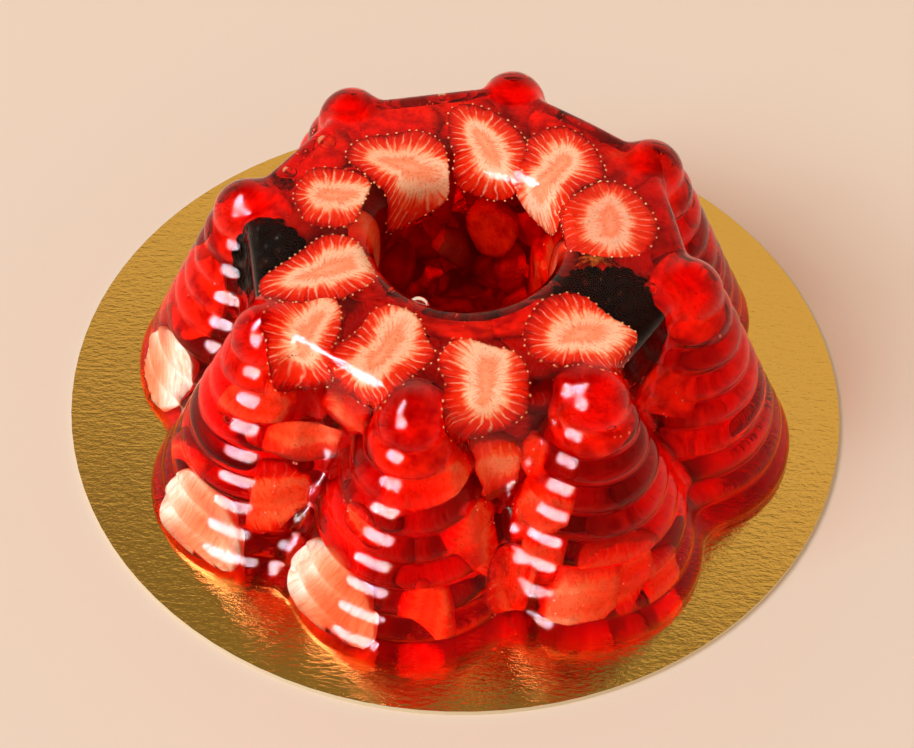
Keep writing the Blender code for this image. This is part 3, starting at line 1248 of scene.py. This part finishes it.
@dataclass(frozen=True)
class FruitSet:
    """Everything that is set in the jelly.

    filler_gap: how near the middles of two pieces may be, in millimetres. filler_rows: how many
    rings of points a scattered piece has. seed_rings: the rings of a half berry's surface that
    carry seeds, from its rim down. seed_size: half a seed's width, length and thickness.
    """

    shape: JellyShape
    filler_count: int = 110
    filler_gap: float = 15.5
    filler_rows: int = 18
    seed_rings: tuple[int, ...] = (23, 23, 24, 26, 28, 30, 32)
    seed_gap: float = 2.1 * MM
    seed_size: tuple[float, float, float] = (0.42 * MM, 0.56 * MM, 0.34 * MM)
    dark_berries: tuple[DarkBerry, ...] = (
        DarkBerry((-62, -5, 65), (13.5, 15.5, 15), 10),
        DarkBerry((44, -22, 62), (17, 19, 15), 0),
    )

    def filler(self) -> list[BerryPiece]:
        """Scatters cut strawberries through the jelly.

        Returns:
            Pieces at seeded places, none nearer than a set gap to another, to a placed one or to
            a clear spot.
        """
        random = np.random.default_rng(11)
        tries = random.uniform([-108, -108, 7], [108, 108, 70], (60000, 3))
        front = np.clip((-10 - tries[:, 1]) / 20, 0, 1)
        deep = self.shape.field(tries * MM, 0.0) < (-7.5 - 2.5 * front) * MM
        back = np.clip((tries[:, 1] - 30) / 20, 0, 1)
        tries = tries[deep & (tries[:, 2] < 65 + 4 * back)]
        clear = np.array(CLEAR)
        off = np.linalg.norm(tries[:, None] - clear[None, :, :3], axis=-1) - clear[:, 3]
        tries = tries[off.min(1) > 8]
        kept = [np.array(piece.place) for piece in PLACED]
        cuts = list(Cut)
        pieces = []
        for place in tries:
            if min(np.linalg.norm(place - other) for other in kept) < self.filler_gap:
                continue
            kept.append(place)
            length, width = random.uniform(24, 33), random.uniform(20, 27)
            out = math.degrees(math.atan2(place[1], place[0]))
            faces = (out + random.uniform(-60, 60), random.uniform(-10, 50))
            cut = cuts[int(random.integers(len(cuts)))]
            ripeness = Ripeness.PINK if random.uniform() < 0.3 else Ripeness.RED
            lean = random.uniform(-90, 90)
            piece = BerryPiece(tuple(place), length, width, faces, lean, cut, ripeness)
            pieces.append(replace(piece, rows=self.filler_rows))
            if len(pieces) >= self.filler_count:
                break
        return pieces

    def chunks(self) -> tuple[Shell, dict[str, Array]]:
        """Builds the cut strawberries below the top layer.

        Returns:
            Their surfaces, and how far each point's colour is washed with red and with cream.
        """
        pieces = [*PLACED, *self.filler()]
        shells = [piece.shell(self.shape) for piece in pieces]
        washes = np.array([piece.ripeness.value for piece in pieces])
        uneven = np.random.default_rng(12).uniform(-0.2, 0.25, len(pieces))
        washes[:, 0] += uneven * (washes[:, 0] > 0)
        red, pale = np.repeat(washes, [len(shell.points) for shell in shells], axis=0).T
        shell = Shell.joined(shells)
        patch = soft_waves(shell.points, 16 * MM, 9)
        return shell, {
            "redness": np.clip(red + 0.3 * patch * (red > 0), 0, 1),
            "paleness": np.clip(pale * (1.0 + 0.6 * patch), 0, 1),
        }

    def seeds(self) -> Shell:
        """Builds the seeds on the rims and undersides of the top layer.

        Returns:
            Small flattened balls, each turned to stand out from its berry.
        """
        random = np.random.default_rng(21)
        shells = []
        for half in HALVES:
            rings = half.shell(self.shape)[0].points[:-2].reshape(-1, EDGE_POINTS, 3)
            middle = rings.mean((0, 1))
            spots: list[Array] = []
            for ring in random.permutation(np.repeat(self.seed_rings, 60)):
                at = rings[ring, int(random.integers(EDGE_POINTS))]
                if all(np.linalg.norm(at - other) > self.seed_gap for other in spots):
                    spots.append(at)
            for at in spots:
                out = (at - middle) / np.linalg.norm(at - middle)
                aside = np.cross(out, [0, 0, 1.0])
                aside /= np.linalg.norm(aside)
                size = np.array(self.seed_size) * random.uniform(0.75, 1.15)
                axes = np.stack([aside, np.cross(out, aside), out]) * size[:, None]
                place = self.shape.kept_inside(at + out * 0.12 * MM, 0.6 * MM)
                shells.append(ball_shell(place, axes, *SPECK))
        return Shell.joined(shells)

    def froth(self) -> Shell:
        """Builds the fine air bubbles that cling to the fruit.

        Returns:
            Small balls, most of them in clusters, a little out from the fruit's surface.
        """
        random = np.random.default_rng(41)
        fruit = np.concatenate([piece.shell(self.shape).points for piece in PLACED])
        seats = fruit[random.integers(len(fruit), size=300)]
        seats = np.repeat(seats, random.integers(1, 5, len(seats)), axis=0)
        seats = seats + random.normal(size=seats.shape) * 1.1 * MM
        seats = seats + self.shape.outward_at(seats) * 0.5 * MM
        depth = -self.shape.field(seats)
        seats = seats[(depth > 0.5 * MM) & (depth < 5 * MM)]
        sizes = [np.eye(3) * random.uniform(0.14, 0.40) * MM for _ in seats]
        return Shell.joined([ball_shell(seat, axes, *SPECK) for seat, axes in zip(seats, sizes)])

    def build(self, origin: Array) -> list[bpy.types.Object]:
        """Builds the fruit.

        Args:
            origin: Where the jelly's axis meets its base.

        Returns:
            The pieces.
        """
        flesh = StrawberryFinish().material()
        made = []
        for number, half in enumerate(HALVES, 1):
            shell, veins = half.shell(self.shape)
            tags = {"redness": np.full(len(shell.points), half.redness)}
            name = f"strawberry_half_{number}"
            made.append(new_piece(name, shell, origin, flesh, float(veins), tags))
        shell, tags = self.chunks()
        made.append(new_piece("strawberry_pieces", shell, origin, flesh, 0.0, tags))
        berries = Shell.joined([berry.shell(self.shape) for berry in self.dark_berries])
        for name, shell, finish, slot in (
            ("strawberry_seeds", self.seeds(), SEED_HUSK, "strawberry_seed"),
            ("dark_berries", berries, DARK_SKIN, "dark_berry"),
            # The fine bubbles' even white is painted sparkle, not the colour of air.
            ("fine_bubbles", self.froth(), FineBubblePaintedSparkleFinish(), "jelly"),
            ("leaf_stub", LeafStub().shell(), WITHERED_LEAF, "leaf"),
        ):
            made.append(new_piece(name, shell, origin, finish.material()))
        return made


@dataclass(frozen=True)
class GoldFoilFinish:
    """Gold foil laminated on grey board and embossed with fine ripples.

    It gives the eye a bright, warm metal that breaks every reflection into short streaks. The
    cut edge and the underside show plain pale card.
    """

    ripple: float = 1.3 * MM
    ripple_depth: float = 0.11 * MM
    gold: str = "E6B85A"
    card: str = "D8C7A8"

    def material(self, top: float) -> bpy.types.Material:
        """Makes the material.

        Args:
            top: The height of the board's top face.

        Returns:
            Embossed gold on the top face, and card below it.
        """
        material, tree = new_material("embossed gold foil on cake board")
        place = add_node(tree, "TexCoord").outputs["Object"]
        along = add_node(tree, "VectorMath", {0: place, 1: (0.45, 1.0, 1.0)}, operation="MULTIPLY")
        ripples = add_node(
            tree,
            "TexNoise",
            {"Scale": 1 / self.ripple, "Detail": 3.0, "Roughness": 0.55, "Vector": along},
        )
        bump = add_node(
            tree, "Bump", {"Strength": 1.0, "Distance": self.ripple_depth, "Height": ripples}
        )
        foil = add_node(
            tree,
            "BsdfPrincipled",
            {"Base Color": linear(self.gold), "Metallic": 1.0, "Roughness": 0.07, "Normal": bump},
        )
        card = add_node(
            tree,
            "BsdfPrincipled",
            {"Base Color": linear(self.card), "Roughness": 0.8, "Specular IOR Level": 0.0},
        )
        height = add_node(tree, "SeparateXYZ", {0: place}).outputs["Z"]
        on_top = add_node(tree, "Math", {0: height, 1: top - 0.02 * MM}, operation="GREATER_THAN")
        mix = add_node(tree, "MixShader", {0: on_top, 1: card, 2: foil})
        add_node(tree, "OutputMaterial", {"Surface": mix})
        return material


@dataclass(frozen=True)
class CakeBoard:
    """The round board, which is the frame's own and only gets its finish."""

    finish: GoldFoilFinish

    def dress(self) -> bpy.types.Object:
        """Gives the board its finish, and returns it."""
        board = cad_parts["cake_board"]
        board.data.materials.clear()
        board.data.materials.append(self.finish.material(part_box("cake_board")[1].z))
        return board


@dataclass(frozen=True)
class Softbox:
    """A soft studio lamp: where it stands, seen from the jelly, its size, power and colour.

    glint_only: whether it only shows in reflections. Any other lamp never does. spin: how far it
    is turned about its own direction, in degrees.
    """

    name: str
    toward: tuple[float, float, float]
    distance: float
    width: float
    height: float
    watts: float
    colour: str
    glint_only: bool = False
    spin: float = 0.0

    def build(self, aim: Vector, shiny: bpy.types.Collection) -> bpy.types.Object:
        """Builds the lamp.

        Args:
            aim: What it points at.
            shiny: The pieces that alone show a lamp that is only there for its reflections.

        Returns:
            The lamp.
        """
        lamp = bpy.data.lights.new(self.name, "AREA")
        lamp.shape = "RECTANGLE"
        lamp.size, lamp.size_y, lamp.energy = self.width, self.height, self.watts
        lamp.color = linear(self.colour)[:3]
        stand = bpy.data.objects.new(self.name, lamp)
        stand.visible_diffuse = stand.visible_transmission = not self.glint_only
        stand.visible_glossy = self.glint_only
        if self.glint_only:
            stand.light_linking.receiver_collection = shiny
        bpy.context.scene.collection.objects.link(stand)
        toward = Vector(self.toward).normalized()
        stand.location = aim + toward * self.distance
        spin = Matrix.Rotation(math.radians(self.spin), 3, "Z")
        stand.rotation_euler = (toward.to_track_quat("Z", "Y").to_matrix() @ spin).to_euler()
        return stand


@dataclass(frozen=True)
class Studio:
    """The floor, the lamps, the surroundings and the camera."""

    elevation: float = 49.34
    distance: float = 0.7495
    lens: float = 86.65
    roll: float = 1.80
    aim_height: float = 7.8 * MM
    softboxes: tuple[Softbox, ...] = (
        Softbox("key softbox", (-0.66, -0.35, 0.66), 12.0, 6.4, 6.4, 1390, "F4F9FF"),
        Softbox("glint softbox", (-0.569, -0.675, 0.471), 3.0, 1.9, 1.65, 2090, "FFD3DA", True),
        Softbox(
            "strip softbox", (-0.568, -0.086, 0.820), 3.1, 2.0, 0.9, 1500, "FFD8E8", True, -48.7
        ),
    )

    def build_floor(self) -> bpy.types.Object:
        """Builds the plain pale floor, which isn't part of the object."""
        half = 3.0
        mesh = bpy.data.meshes.new("floor")
        corners = [(-half, -half, 0), (half, -half, 0), (half, half, 0), (-half, half, 0)]
        mesh.from_pydata(corners, [], [(0, 1, 2, 3)])
        material, tree = new_material("matt beige paper")
        paper = add_node(
            tree,
            "BsdfPrincipled",
            {"Base Color": linear("E3CFBF"), "Roughness": 1.0, "Specular IOR Level": 0.0},
        )
        add_node(tree, "OutputMaterial", {"Surface": paper})
        mesh.materials.append(material)
        floor = bpy.data.objects.new("floor", mesh)
        bpy.context.scene.collection.objects.link(floor)
        return floor

    def build_surroundings(self) -> None:
        """Makes the studio's surroundings: pale walls, and a dim ceiling above them."""
        world = bpy.data.worlds.new("studio")
        world.use_nodes = True
        tree = world.node_tree
        way = add_node(tree, "TexCoord").outputs["Generated"]
        rise = add_node(tree, "VectorMath", {0: way, 1: (-0.22, 0.0, 1.0)}, operation="DOT_PRODUCT")
        bright = add_node(
            tree,
            "MapRange",
            {0: rise, 1: 0.76, 2: 0.81, 3: 0.80, 4: 0.26},
            interpolation_type="SMOOTHSTEP",
        )
        background = tree.nodes["Background"]
        background.inputs["Color"].default_value = linear("FFEBCF")
        tree.links.new(bright.outputs[0], background.inputs["Strength"])
        bpy.context.scene.world = world
        bpy.context.scene.view_settings.view_transform = "Standard"

    def build_camera(self) -> bpy.types.Object:
        """Builds the camera.

        Returns:
            The camera, in front of the board and above it, rolled slightly.
        """
        camera_data = bpy.data.cameras.new("camera")
        camera_data.lens, camera_data.sensor_width = self.lens, 36.0
        camera = bpy.data.objects.new("camera", camera_data)
        bpy.context.scene.collection.objects.link(camera)
        rise = math.radians(self.elevation)
        back, up = self.distance * math.cos(rise), self.distance * math.sin(rise)
        place = Vector((0, -back, up + 2 * MM))
        forward = (Vector((0.1 * MM, 0, self.aim_height)) - place).normalized()
        turned = (-forward).to_track_quat("Z", "Y").to_matrix()
        camera.matrix_world = Matrix.Translation(place) @ (
            turned @ Matrix.Rotation(math.radians(self.roll), 3, "Z")
        ).to_4x4()
        camera_data.clip_start = 0.01
        bpy.context.scene.camera = camera
        return camera

    def build(self, wet: Sequence[bpy.types.Object]) -> None:
        """Builds everything round the object.

        Args:
            wet: The pieces whose surfaces show the small bright lamps.
        """
        self.build_floor()
        self.build_surroundings()
        shiny = bpy.data.collections.new("shows the glints")
        for piece in wet:
            shiny.objects.link(piece)
        for softbox in self.softboxes:
            softbox.build(Vector((0, 0, 40 * MM)), shiny)
        self.build_camera()


# The pieces whose wet surfaces show the small bright lamps.
WET = ("jelly_body", "strawberry_seeds", "dark_berries", "fine_bubbles")


def main() -> None:
    """Builds the jelly, its fruit, the board and the studio."""
    logging.basicConfig(level=logging.INFO, format="%(message)s")
    low, high = (np.array(corner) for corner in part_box("jelly"))
    origin = np.array([(low[0] + high[0]) / 2, (low[1] + high[1]) / 2, low[2]])
    shape = JellyShape()
    jelly = MouldedJelly(shape, JellyFinish()).build(origin)
    pieces = [jelly, *FruitSet(shape).build(origin)]
    for piece in pieces:
        LOG.info("%s: %d faces", piece.name, len(piece.data.polygons))
    wet = [piece for piece in pieces if piece.name in WET]
    LOG.info("camera and studio")
    Studio().build(wet)
    board = CakeBoard(GoldFoilFinish()).dress()
    LOG.info("%s dressed", board.name)


if __name__ == "__main__":
    main()
